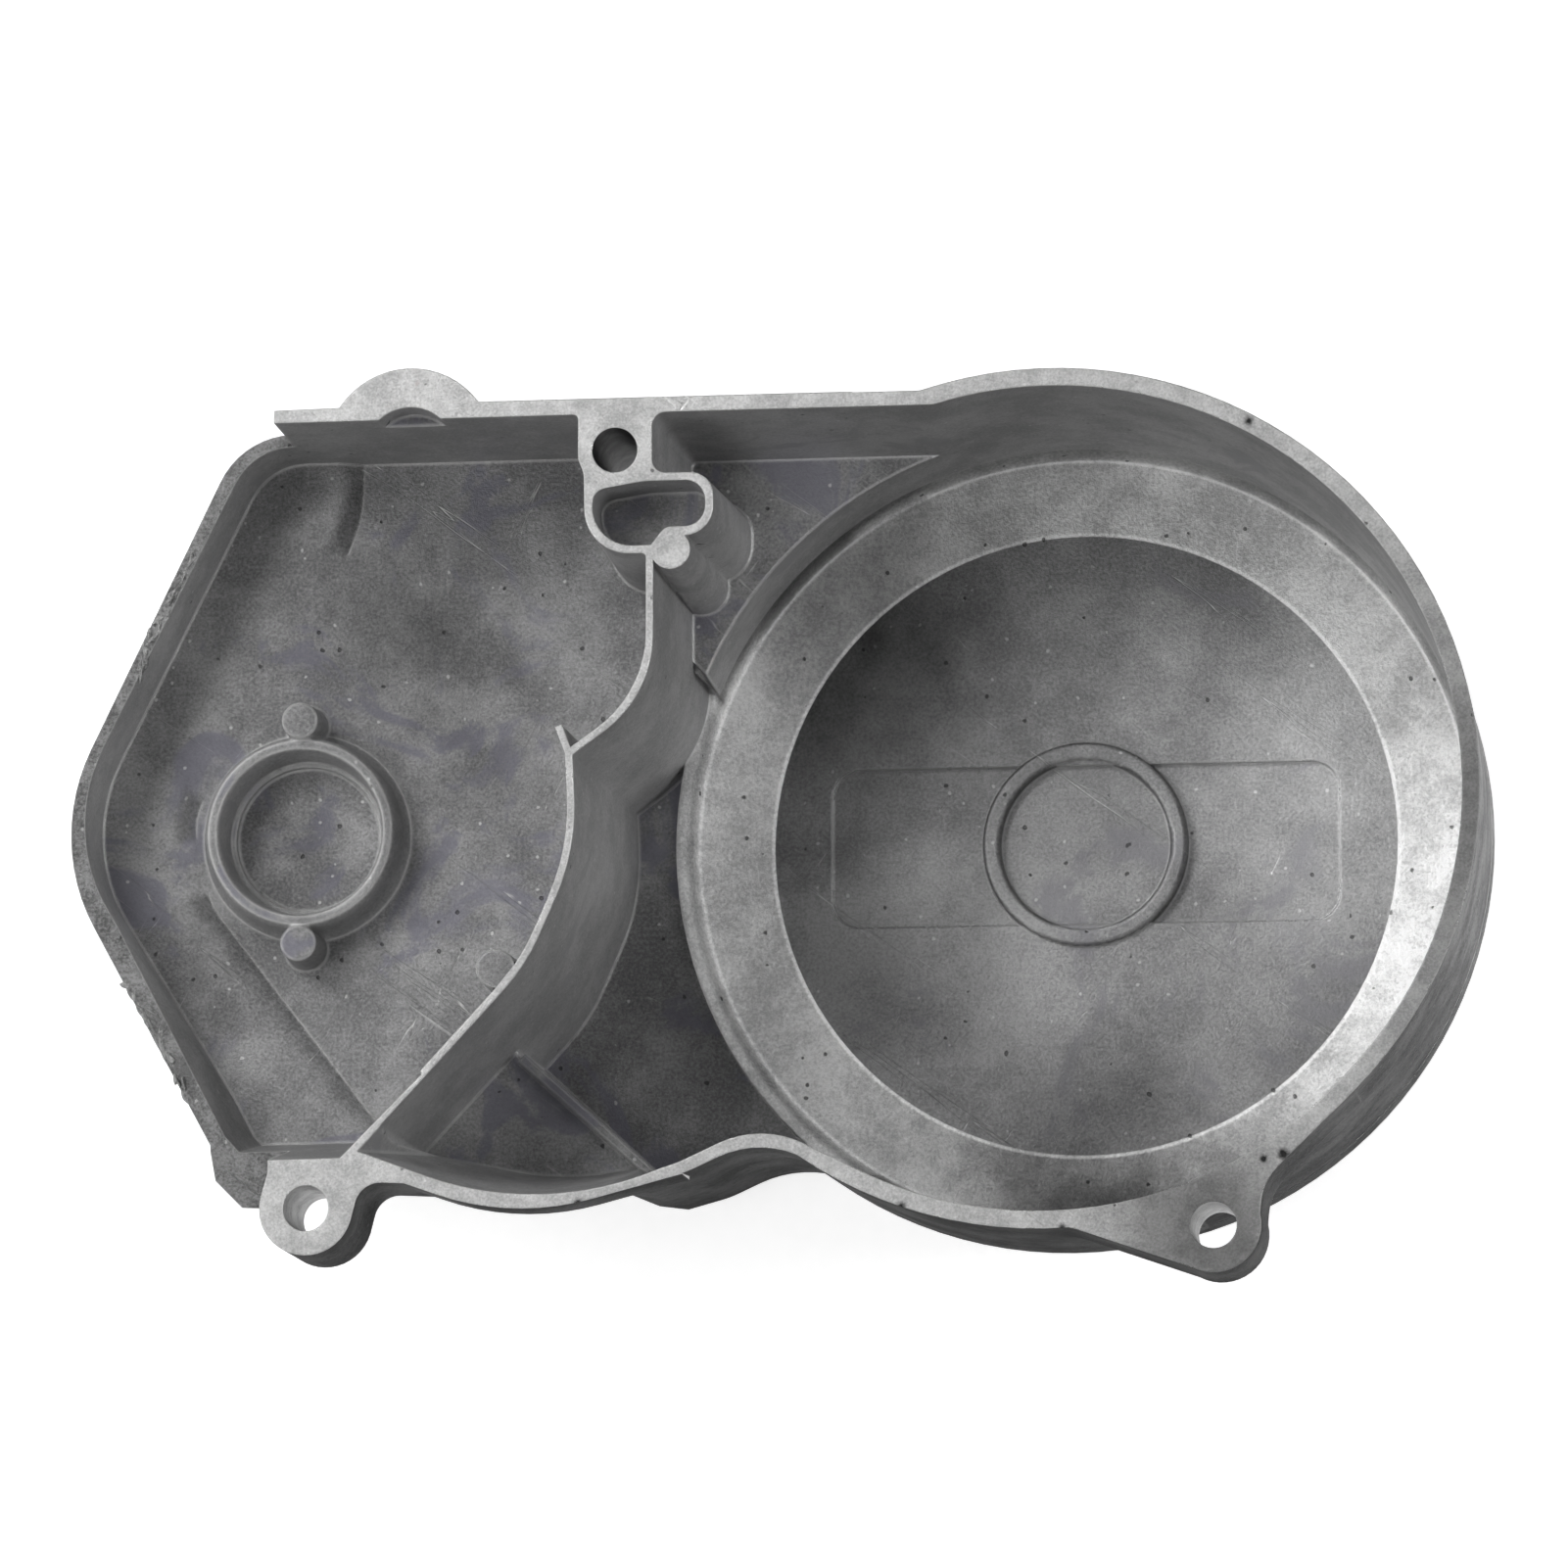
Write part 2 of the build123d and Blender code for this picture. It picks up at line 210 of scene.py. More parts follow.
def scratchGroup():
    # long thin lines in one direction, broken off here and there
    inputs = {"Vector": None, "Angle": 0.6, "Length": 0.03, "Spacing": 0.0012, "Cover": 0.3}
    tree, ins, outs = newGroup("scratchLines", inputs, ("Mask",))
    turned = put(tree, "ShaderNodeVectorRotate", {"Vector": ins["Vector"], "Angle": ins["Angle"]},
                 rotation_type="Z_AXIS").outputs[0]
    split = put(tree, "ShaderNodeSeparateXYZ", {0: turned}).outputs
    along = calc(tree, "DIVIDE", split[0], ins["Length"])
    across = calc(tree, "DIVIDE", split[1], ins["Spacing"])
    deep = calc(tree, "MULTIPLY", split[2], scratchLines["depthScale"])
    joined = put(tree, "ShaderNodeCombineXYZ", {0: along, 1: across, 2: deep}).outputs[0]
    lines = noise(tree, joined, 1.0, scratchLines["detail"], scratchLines["rough"])["Fac"]
    away = calc(tree, "ABSOLUTE", calc(tree, "SUBTRACT", lines, 0.5))
    thin = ramp(tree, away, 0.0, scratchLines["thin"], 1.0, 0.0)
    gate = noise(tree, joined, scratchLines["gateScale"], scratchLines["gateDetail"])["Fac"]
    drop = calc(tree, "MULTIPLY", ins["Cover"], scratchLines["perCover"])
    limit = calc(tree, "SUBTRACT", scratchLines["start"], drop)
    shown = ramp(tree, gate, limit, calc(tree, "ADD", limit, scratchLines["fade"]))
    tree.links.new(calc(tree, "MULTIPLY", thin, shown), outs["Mask"])
    return tree


rubbedAndHighlitEdges = {
    "samples": 3,
    "sameFrom": 0.995, "sameTo": 0.90,  # how well the rounded normal agrees with the face's own
    "chipScale": 420.0, "chipDetail": 4.0, "chipRough": 0.7,
    "perBreaks": 0.62, "fade": 0.16,
}


def edgeGroup():
    # bright lines where faces meet, rubbed wear on outer edges and painted highlights along the fillets in the
    # corners, and softly rounded edges
    inputs = {"Vector": None, "Radius": 0.0005, "Breaks": 0.5}
    tree, ins, outs = newGroup("rubbedAndHighlitEdges", inputs, ("Mask", "Normal"))
    soft = put(tree, "ShaderNodeBevel", {"Radius": ins["Radius"]}, samples=rubbedAndHighlitEdges["samples"]).outputs[0]
    own = put(tree, "ShaderNodeNewGeometry").outputs["Normal"]
    same = vectorCalc(tree, "DOT_PRODUCT", {0: soft, 1: own})["Value"]
    line = ramp(tree, same, rubbedAndHighlitEdges["sameFrom"], rubbedAndHighlitEdges["sameTo"])
    chips = noise(tree, ins["Vector"], rubbedAndHighlitEdges["chipScale"], rubbedAndHighlitEdges["chipDetail"],
                  rubbedAndHighlitEdges["chipRough"])["Fac"]
    limit = calc(tree, "MULTIPLY", ins["Breaks"], rubbedAndHighlitEdges["perBreaks"])
    kept = ramp(tree, chips, limit, calc(tree, "ADD", limit, rubbedAndHighlitEdges["fade"]))
    tree.links.new(calc(tree, "MULTIPLY", line, kept), outs["Mask"])
    tree.links.new(soft, outs["Normal"])
    return tree


pitAndGlintSpecks = {
    "wobbleScale": 900.0, "wobbleDetail": 2.0, "wobble": (0.0006, 0.0006, 0.0006),
    "core": 0.6,  # share of a pit that is full depth
}


def speckGroup():
    # small round specks: open pores and knocks, and the glints, which are painted highlights
    inputs = {"Vector": None, "Spacing": 0.004, "Size": 0.1, "Cover": 0.3}
    tree, ins, outs = newGroup("pitAndGlintSpecks", inputs, ("Mask",))
    scale = calc(tree, "DIVIDE", 1.0, ins["Spacing"])
    wobble = noise(tree, ins["Vector"], pitAndGlintSpecks["wobbleScale"], pitAndGlintSpecks["wobbleDetail"])["Color"]
    bent = vectorCalc(tree, "MULTIPLY_ADD", {0: wobble, 1: pitAndGlintSpecks["wobble"], 2: ins["Vector"]})[0]
    cells = put(tree, "ShaderNodeTexVoronoi", {"Vector": bent, "Scale": scale}).outputs
    core = calc(tree, "MULTIPLY", ins["Size"], pitAndGlintSpecks["core"])
    spot = ramp(tree, cells["Distance"], core, ins["Size"], 1.0, 0.0)
    pick = put(tree, "ShaderNodeSeparateColor", {0: cells["Color"]}).outputs[0]
    chosen = calc(tree, "LESS_THAN", pick, ins["Cover"])
    tree.links.new(calc(tree, "MULTIPLY", spot, chosen), outs["Mask"])
    return tree


paintedLightShadeNickSpot = {
    "waves": 2.2,  # across the spot's size
    "detail": 2.0, "rough": 0.65,
    "uneven": 0.6,  # share of the size that the edge wanders
}


def lightShadeNickSpotGroup():
    # one soft uneven spot seen from above at a chosen place: the mask for painted shade, painted light and a few dark
    # nicks
    tree, ins, outs = newGroup("paintedLightShadeNickSpot", {"Vector": None, "Place": None, "Size": 0.02}, ("Mask",))
    flat = vectorCalc(tree, "MULTIPLY", {0: ins["Vector"], 1: (1.0, 1.0, 0.0)})[0]
    away = vectorCalc(tree, "DISTANCE", {0: flat, 1: ins["Place"]})["Value"]
    scale = calc(tree, "DIVIDE", paintedLightShadeNickSpot["waves"], ins["Size"])
    uneven = noise(tree, ins["Vector"], scale, paintedLightShadeNickSpot["detail"], paintedLightShadeNickSpot["rough"])["Fac"]
    wander = calc(tree, "MULTIPLY", ins["Size"], paintedLightShadeNickSpot["uneven"])
    bent = calc(tree, "MULTIPLY_ADD", calc(tree, "SUBTRACT", uneven, 0.5), wander, away)
    tree.links.new(ramp(tree, bent, 0.0, ins["Size"], 1.0, 0.0), outs["Mask"])
    return tree


# What all finishes share; a finish's own values scale it
allFinishes = {
    "stainSize": 1.1,  # times the patch
    "scratches": [(0.62, 0.03, 0.0016, 0.42), (-1.05, 0.012, 0.0013, 0.36)],  # angle, length, spacing, cover
    "edgeBreaks": 0.36,
    "pits": (0.0032, 0.12, 1.0),  # spacing, size, cover
    "glints": (0.0023, 0.15, 0.8),
    "patchTone": 0.7, "lowestTone": 0.15, "grainTone": 2.7,
    "stainAmount": 0.75, "lineAmount": 0.45, "glintAmount": 0.45, "pitAmount": 0.75,
    "pitColour": (0.06, 0.06, 0.06),
    "darkest": 0.06,  # a spot never makes the colour darker than this share of it
    "patchRough": -0.10, "roughOver": 0.05, "stainRough": 0.07, "edgeRough": -0.12,
    "shine": 0.5,
    "pitHeight": -1.2, "lineHeight": -0.5,
}

# Finishes of the casting: tones are plain colours, lengths are in metres, and spots, which paint shade and light and
# mark a few dark nicks, are (place, size, lighter or darker)
finishes = {
    "castWall": {
        "dark": (0.30, 0.30, 0.303), "light": (0.50, 0.50, 0.50), "patch": 0.014, "grain": 0.00045,
        "rough": 0.5, "metal": 0.5, "stain": (0.36, 0.358, 0.368), "stainCover": 0.3,
        "scratch": 0.25, "edge": (0.8, 0.8, 0.79), "edgeAmount": 0.9, "edgeRadius": 0.0008,
        "speckCover": 0.12, "bump": 0.00010,
        "paintedLightShadeAndNicks": [],
    },
    "castFloor": {
        "dark": (0.15, 0.15, 0.152), "light": (0.34, 0.34, 0.34), "patch": 0.019, "grain": 0.0005,
        "rough": 0.48, "metal": 0.85, "stain": (0.20, 0.197, 0.235), "stainCover": 0.42,
        "scratch": 1.0, "edge": (0.8, 0.8, 0.79), "edgeAmount": 0.9, "edgeRadius": 0.0008,
        "speckCover": 0.3, "bump": 0.00012,
        # these spots are painted shade and painted light on the bay, the seat and the pockets
        "paintedLightShadeAndNicks": [((-0.0597, 0.0335), 0.025, -0.50), ((-0.0459, 0.0148), 0.020, -0.25),
                  ((-0.0790, -0.030), 0.022, 0.25), ((-0.087, -0.0187), 0.016, -0.30),
                  ((-0.0753, 0.0028), 0.013, -0.3), ((-0.0388, -0.0422), 0.014, -0.35),
                  ((-0.0238, -0.0261), 0.022, -0.35), ((0.010, 0.060), 0.030, 0.9)],
    },
    "chamberFloor": {
        "dark": (0.19, 0.19, 0.192), "light": (0.36, 0.36, 0.36), "patch": 0.025, "grain": 0.0005,
        "rough": 0.42, "metal": 0.88, "stain": (0.24, 0.238, 0.252), "stainCover": 0.3,
        "scratch": 1.0, "edge": (0.7, 0.7, 0.7), "edgeAmount": 0.6, "edgeRadius": 0.0006,
        "speckCover": 0.25, "bump": 0.00010,
        # these spots are painted shade on the chamber floor's left and lower side, where its walls shade it, and
        # painted light on its right side
        "paintedLightShadeAndNicks": [((0.002, 0.030), 0.042, -0.75), ((0.010, -0.022), 0.034, -0.50),
                  ((0.045, -0.042), 0.028, -0.45), ((0.014, 0.003), 0.016, 0.30),
                  ((0.0427, -0.016), 0.022, 0.25), ((0.085, 0.015), 0.045, 0.95),
                  ((0.0199, 0.0425), 0.020, -0.25)],
    },
    "turnedBand": {
        "dark": (0.46, 0.46, 0.46), "light": (0.80, 0.80, 0.795), "patch": 0.010, "grain": 0.00055,
        "rough": 0.46, "metal": 0.9, "stain": (0.50, 0.47, 0.47), "stainCover": 0.12,
        "scratch": 0.6, "edge": (0.9, 0.9, 0.9), "edgeAmount": 0.7, "edgeRadius": 0.0007,
        "speckCover": 0.3, "bump": 0.00018,
        # rings are painted highlights along the band's inner and outer edges and a painted shade line just outside it
        "paintedHighlightShadeRings": [(0.0494, 0.0005, 0.55), (0.0609, 0.0005, 0.40),  # radius, width, lighter or darker
                  (0.0620, 0.0009, -0.30)],
        # spots are painted light on the band's right and painted shade at its bottom, upper left and lower left
        "paintedLightShadeAndNicks": [((0.045, -0.058), 0.045, -0.88), ((0.005, 0.045), 0.035, -0.45),
                  ((0.045, 0.060), 0.030, -0.05), ((0.103, -0.012), 0.035, 0.60),
                  ((0.0, -0.035), 0.025, -0.2)],
    },
    "rimFace": {
        "dark": (0.38, 0.38, 0.38), "light": (0.66, 0.66, 0.655), "patch": 0.006, "grain": 0.0004,
        "rough": 0.42, "metal": 0.9, "stain": (0.46, 0.42, 0.42), "stainCover": 0.12,
        "scratch": 1.0, "edge": (0.85, 0.85, 0.84), "edgeAmount": 0.8, "edgeRadius": 0.0004,
        "speckCover": 0.2, "bump": 0.00007,
        # the two larger spots are painted shade on the rim's right side and on the right lug; the small ones are dark
        # nicks in the rim
        "paintedLightShadeAndNicks": [((0.105, 0.0), 0.055, -0.60), ((0.069, -0.0635), 0.024, -0.65),
                  ((0.0754, 0.0592), 0.0012, -1.0), ((0.0798, -0.0529), 0.0014, -1.0),
                  ((0.0768, -0.0536), 0.0009, -1.0), ((-0.0274, -0.0588), 0.0012, -1.0),
                  ((0.022, -0.0600), 0.0011, -1.0), ((0.0463, -0.0636), 0.0010, -1.0)],
    },
    "outerSkin": {
        "dark": (0.10, 0.10, 0.102), "light": (0.24, 0.24, 0.24), "patch": 0.012, "grain": 0.0005,
        "rough": 0.68, "metal": 0.0, "stain": (0.17, 0.17, 0.172), "stainCover": 0.3,
        "scratch": 0.4, "edge": (0.5, 0.5, 0.5), "edgeAmount": 0.5, "edgeRadius": 0.0006,
        "speckCover": 0.3, "bump": 0.00014, "shine": 0.03,
        # painted shade on the front outer walls and painted light on the right outer flank
        "paintedLightShadeAndNicks": [((0.035, -0.088), 0.105, -0.95), ((-0.065, -0.085), 0.085, -0.8), ((0.125, 0.015), 0.060, 1.6)],
    },
    "tornMetal": {
        "dark": (0.12, 0.12, 0.12), "light": (0.34, 0.34, 0.34), "patch": 0.004, "grain": 0.0005,
        "rough": 0.45, "metal": 0.8, "stain": (0.20, 0.20, 0.20), "stainCover": 0.3,
        "scratch": 1.0, "edge": (0.8, 0.8, 0.79), "edgeAmount": 0.55, "edgeRadius": 0.0003,
        "speckCover": 0.4, "bump": 0.00025,
        "paintedLightShadeAndNicks": [],
    },
    "drilledBore": {
        "dark": (0.20, 0.20, 0.20), "light": (0.36, 0.36, 0.36), "patch": 0.004, "grain": 0.0003,
        "rough": 0.42, "metal": 0.8, "stain": (0.15, 0.15, 0.15), "stainCover": 0.3,
        "scratch": 0.2, "edge": (0.8, 0.8, 0.8), "edgeAmount": 0.6, "edgeRadius": 0.0003,
        "speckCover": 0.05, "bump": 0.00008,
        # painted shade inside the boss's bore
        "paintedLightShadeAndNicks": [((-0.02201, 0.0571), 0.030, -0.97)],
    },
}


def finishColour(tree, look, place, masks, spotOf):
    # the two tones mixed by patch and grain, then what lies on them from the film up to the edges' bright lines,
    # which are rubbed wear and painted highlights; the glints are painted highlights too, and last the painted shade
    # and light of rings and spots scale the colour
    grain, stain, lines, glint, pit, edge = masks
    mottle = calc(tree, "MULTIPLY_ADD", grain["Patches"], allFinishes["patchTone"], allFinishes["lowestTone"])
    speckle = calc(tree, "SUBTRACT", grain["Grain"], 0.5)
    tone = calc(tree, "MULTIPLY_ADD", speckle, allFinishes["grainTone"], mottle, clamp=True)
    colour = blend(tree, tone, (*look["dark"], 1), (*look["light"], 1))
    for mask, amount, over in ((stain["Mask"], allFinishes["stainAmount"], look["stain"]),
                               (lines, allFinishes["lineAmount"], look["edge"]),
                               (glint["Mask"], allFinishes["glintAmount"], look["edge"]),
                               (pit["Mask"], allFinishes["pitAmount"], allFinishes["pitColour"]),
                               (edge["Mask"], look["edgeAmount"], look["edge"])):
        colour = blend(tree, calc(tree, "MULTIPLY", mask, amount), colour, (*over, 1))
    # painted shade and painted light: the rings and spots scale the colour
    shade = 1.0
    if "paintedHighlightShadeRings" in look:
        flat = vectorCalc(tree, "MULTIPLY", {0: place, 1: (1.0, 1.0, 0.0)})[0]
        out = vectorCalc(tree, "DISTANCE", {0: flat, 1: (housingAxis.x, housingAxis.y, 0.0)})["Value"]
        for radius, width, amount in look["paintedHighlightShadeRings"]:
            away = calc(tree, "ABSOLUTE", calc(tree, "SUBTRACT", out, radius))
            shade = calc(tree, "MULTIPLY_ADD", ramp(tree, away, 0.0, width, 1.0, 0.0), amount, shade)
    for (x, y), size, amount in look["paintedLightShadeAndNicks"]:
        spot = useGroup(tree, spotOf, {"Vector": place, "Place": (x, y, 0.0), "Size": size})
        shade = calc(tree, "MULTIPLY_ADD", spot["Mask"], amount, shade)
    if look["paintedLightShadeAndNicks"]:
        shade = calc(tree, "MAXIMUM", shade, allFinishes["darkest"])
        colour = vectorCalc(tree, "SCALE", {0: colour, "Scale": shade})[0]
    return colour


def makeFinish(name, groups):
    look = finishes[name]
    grainOf, stainOf, scratchOf, edgeOf, speckOf, spotOf = groups
    material = bpy.data.materials.new(name)
    material.use_nodes = True
    tree = material.node_tree
    skin = tree.nodes["Principled BSDF"]
    place = put(tree, "ShaderNodeTexCoord").outputs["Object"]
    grain = useGroup(tree, grainOf, {"Vector": place, "Patch Size": look["patch"], "Grain Size": look["grain"]})
    stainSize = look["patch"] * allFinishes["stainSize"]
    stain = useGroup(tree, stainOf, {"Vector": place, "Size": stainSize, "Cover": look["stainCover"]})
    lengthwise, crosswise = [
        useGroup(tree, scratchOf, {"Vector": place, "Angle": angle, "Length": length, "Spacing": spacing,
                                   "Cover": share * look["scratch"]})
        for angle, length, spacing, share in allFinishes["scratches"]]
    edge = useGroup(tree, edgeOf, {"Vector": place, "Radius": look["edgeRadius"],
                                   "Breaks": allFinishes["edgeBreaks"]})
    pit, glint = [
        useGroup(tree, speckOf, {"Vector": place, "Spacing": spacing, "Size": size, "Cover": look["speckCover"] * share})
        for spacing, size, share in (allFinishes["pits"], allFinishes["glints"])]
    lines = calc(tree, "MAXIMUM", lengthwise["Mask"], crosswise["Mask"])
    colour = finishColour(tree, look, place, (grain, stain, lines, glint, pit, edge), spotOf)
    tree.links.new(colour, skin.inputs["Base Color"])
    rough = look["rough"] + allFinishes["roughOver"]
    for mask, amount in ((grain["Patches"], "patchRough"), (stain["Mask"], "stainRough"),
                         (edge["Mask"], "edgeRough")):
        rough = calc(tree, "MULTIPLY_ADD", mask, allFinishes[amount], rough)
    tree.links.new(rough, skin.inputs["Roughness"])
    skin.inputs["Metallic"].default_value = look["metal"]
    skin.inputs["Specular IOR Level"].default_value = look.get("shine", allFinishes["shine"])
    height = calc(tree, "MULTIPLY_ADD", pit["Mask"], allFinishes["pitHeight"], grain["Height"])
    height = calc(tree, "MULTIPLY_ADD", lines, allFinishes["lineHeight"], height)
    bump = put(tree, "ShaderNodeBump", {"Strength": 1.0, "Distance": look["bump"], "Height": height,
                                        "Normal": edge["Normal"]}).outputs[0]
    tree.links.new(bump, skin.inputs["Normal"])
    return material


cover = {
    "mergeWithin": 2e-6,
    "flatWithin": 0.6,  # degrees: faces that lie flatter than this become one
    "smoothBelow": 30.0,  # degrees
    "levelWeight": 80,  # how far large faces decide the shading
    "floorRadius": 0.0493,  # the chamber's floor inside its bright band
    "bandRadius": 0.0643,
    "bandFoot": 0.003,  # heights of the band's lower and upper edge above the origin's plane
    "bandTop": 0.0095,
    "rimTop": 0.0594,
    "leftWallTop": 0.0415,
    "leftWallWithin": 0.0002,
    "pad": (-0.04021, -0.0227),
    "padRadius": 0.00305,
    "bores": [(-0.06921, -0.059), (0.06919, -0.0635), (-0.02201, 0.0571)],
    "boreRadius": 0.0037,
    # the normal's upward share that a face needs to count as a bore's wall, a top, the band, a floor or an underside
    "boreBelow": 0.7,
    "topAbove": 0.6,
    "bandAbove": 0.1,
    "floorAbove": 0.8,
    "undersideBelow": -0.005,
    "lookDown": -0.5,  # slope of the ray that tells outer walls, which meet nothing
    "lookStart": 1e-5,
}


def finishOf(face, tree):
    # which finish a face of the casting has
    centre, normal = face.calc_center_median(), face.normal
    for x, y in cover["bores"]:
        if math.hypot(centre.x - x, centre.y - y) < cover["boreRadius"] and abs(normal.z) < cover["boreBelow"]:
            return "drilledBore"
    x, y = cover["pad"]
    isTop = normal.z > cover["topAbove"]
    if isTop and all(math.hypot(corner.co.x - x, corner.co.y - y) < cover["padRadius"] for corner in face.verts):
        return "castFloor"
    if isTop and centre.z > cover["rimTop"]:
        return "rimFace"
    out = math.hypot(centre.x - housingAxis.x, centre.y - housingAxis.y)
    inBand = cover["bandFoot"] < centre.z < cover["bandTop"] and out < cover["bandRadius"]
    if inBand and normal.z > cover["bandAbove"]:
        return "chamberFloor" if out < cover["floorRadius"] else "turnedBand"
    if isTop and abs(centre.z - cover["leftWallTop"]) < cover["leftWallWithin"]:
        return "tornMetal"
    if normal.z > cover["floorAbove"]:
        return "castFloor"
    if normal.z < cover["undersideBelow"]:
        return "outerSkin"
    toward = Vector((normal.x, normal.y, cover["lookDown"])).normalized()
    if tree.ray_cast(centre + normal * cover["lookStart"], toward)[0] is None:
        return "outerSkin"
    return "castWall"


def makeCover(materials):
    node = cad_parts["stator_cover"]
    mesh = node.data.copy()
    mesh.name = "coverCasting"
    mesh.transform(node.matrix_world)
    shell = bmesh.new()
    shell.from_mesh(mesh)
    bmesh.ops.remove_doubles(shell, verts=shell.verts, dist=cover["mergeWithin"])
    mesh.materials.clear()
    names = list(materials)
    for name in names:
        mesh.materials.append(materials[name])
    tree = BVHTree.FromBMesh(shell)
    for face in shell.faces:
        face.material_index = names.index(finishOf(face, tree))
        face.smooth = True
    bmesh.ops.dissolve_limit(shell, angle_limit=math.radians(cover["flatWithin"]), verts=shell.verts,
                             edges=shell.edges, delimit={"MATERIAL"})
    shell.to_mesh(mesh)
    borders = [edge.index for edge in shell.edges if len({face.material_index for face in edge.link_faces}) > 1]
    shell.free()
    mesh.set_sharp_from_angle(angle=math.radians(cover["smoothBelow"]))
    for index in borders:
        mesh.edges[index].use_edge_sharp = True  # a change of finish is a crisp line
    piece = bpy.data.objects.new("coverCasting", mesh)
    bpy.context.collection.objects.link(piece)
    level = piece.modifiers.new("levelFaces", "WEIGHTED_NORMAL")  # large flat faces keep their shading flat
    level.weight = cover["levelWeight"]
    level.keep_sharp = True
    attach(piece, "root")
    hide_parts("stator_cover")


wallFlash = {
    "edges": [  # two torn stretches of the left wall's outer top edge
        [(-0.0918, 0.0441), (-0.0957, 0.0361), (-0.0995, 0.0282)],
        [(-0.1006, -0.0216), (-0.0960, -0.0303), (-0.0912, -0.0392)],
    ],
    "height": 0.0413,
    "spacing": 0.0008,
    "chipSize": 0.0008,
    "wander": 0.00045,
    "seed": 11,
    "chipRounds": 2,  # subdivisions of a chip
    # least and most of what is random: the chip's shift, turn and shape
    "stray": ((-1.0, -1.0, -0.6), (1.0, 1.0, 0.3)),
    "twist": ((-0.4, -0.1, -0.18), (0.4, 0.1, 0.18)),
    "shape": ((1.2, 0.3, 0.35), (3.0, 0.7, 0.65)),
    "breakScale": 1100.0,
    "breakDetail": 2.0,
    "breakPush": 0.7,  # times the chip size
}


def randomVector(tree, limits, seed):
    inputs = {0: limits[0], 1: limits[1], "Seed": seed}
    return put(tree, "FunctionNodeRandomValue", inputs, data_type="FLOAT_VECTOR").outputs[0]


def flashTree():
    # ragged chips strung along a path
    tree = bpy.data.node_groups.new("raggedChips", "GeometryNodeTree")
    for label, kind, value in [("Path", "NodeSocketGeometry", None), ("Spacing", "NodeSocketFloat", 0.001),
                               ("Chip Size", "NodeSocketFloat", 0.001), ("Wander", "NodeSocketFloat", 0.0005),
                               ("Seed", "NodeSocketInt", 1), ("Finish", "NodeSocketMaterial", None)]:
        socket = tree.interface.new_socket(label, in_out="INPUT", socket_type=kind)
        if value is not None:
            socket.default_value = value
    tree.interface.new_socket("Chips", in_out="OUTPUT", socket_type="NodeSocketGeometry")
    ins = tree.nodes.new("NodeGroupInput").outputs
    path = put(tree, "GeometryNodeMeshToCurve", {"Mesh": ins["Path"]}).outputs[0]
    points = put(tree, "GeometryNodeResampleCurve", {"Curve": path, "Length": ins["Spacing"]},
                 mode="LENGTH").outputs[0]
    stray = randomVector(tree, wallFlash["stray"], ins["Seed"])
    strayed = vectorCalc(tree, "SCALE", {0: stray, "Scale": ins["Wander"]})[0]
    moved = put(tree, "GeometryNodeSetPosition", {"Geometry": points, "Offset": strayed}).outputs[0]
    chip = put(tree, "GeometryNodeMeshIcoSphere", {"Radius": 1.0, "Subdivisions": wallFlash["chipRounds"]}).outputs[0]
    along = put(tree, "GeometryNodeInputTangent").outputs[0]
    turned = put(tree, "FunctionNodeAlignRotationToVector", {"Vector": along}, axis="X").outputs[0]
    twist = randomVector(tree, wallFlash["twist"], calc(tree, "ADD", ins["Seed"], 1.0))
    twistTurn = put(tree, "FunctionNodeEulerToRotation", {0: twist}).outputs[0]
    twisted = put(tree, "FunctionNodeRotateRotation", {0: turned, 1: twistTurn}).outputs[0]
    shape = randomVector(tree, wallFlash["shape"], calc(tree, "ADD", ins["Seed"], 2.0))
    sized = vectorCalc(tree, "SCALE", {0: shape, "Scale": ins["Chip Size"]})[0]
    strung = put(tree, "GeometryNodeInstanceOnPoints",
                 {"Points": moved, "Instance": chip, "Rotation": twisted, "Scale": sized}).outputs[0]
    solid = put(tree, "GeometryNodeRealizeInstances", {0: strung}).outputs[0]
    place = put(tree, "GeometryNodeInputPosition").outputs[0]
    rough = noise(tree, place, wallFlash["breakScale"], wallFlash["breakDetail"])["Color"]
    centred = vectorCalc(tree, "SUBTRACT", {0: rough, 1: (0.5, 0.5, 0.5)})[0]
    push = calc(tree, "MULTIPLY", ins["Chip Size"], wallFlash["breakPush"])
    pushed = vectorCalc(tree, "SCALE", {0: centred, "Scale": push})[0]
    broken = put(tree, "GeometryNodeSetPosition", {"Geometry": solid, "Offset": pushed}).outputs[0]
    dressed = put(tree, "GeometryNodeSetMaterial", {"Geometry": broken, "Material": ins["Finish"]}).outputs[0]
    tree.links.new(dressed, tree.nodes.new("NodeGroupOutput").inputs[0])
    return tree


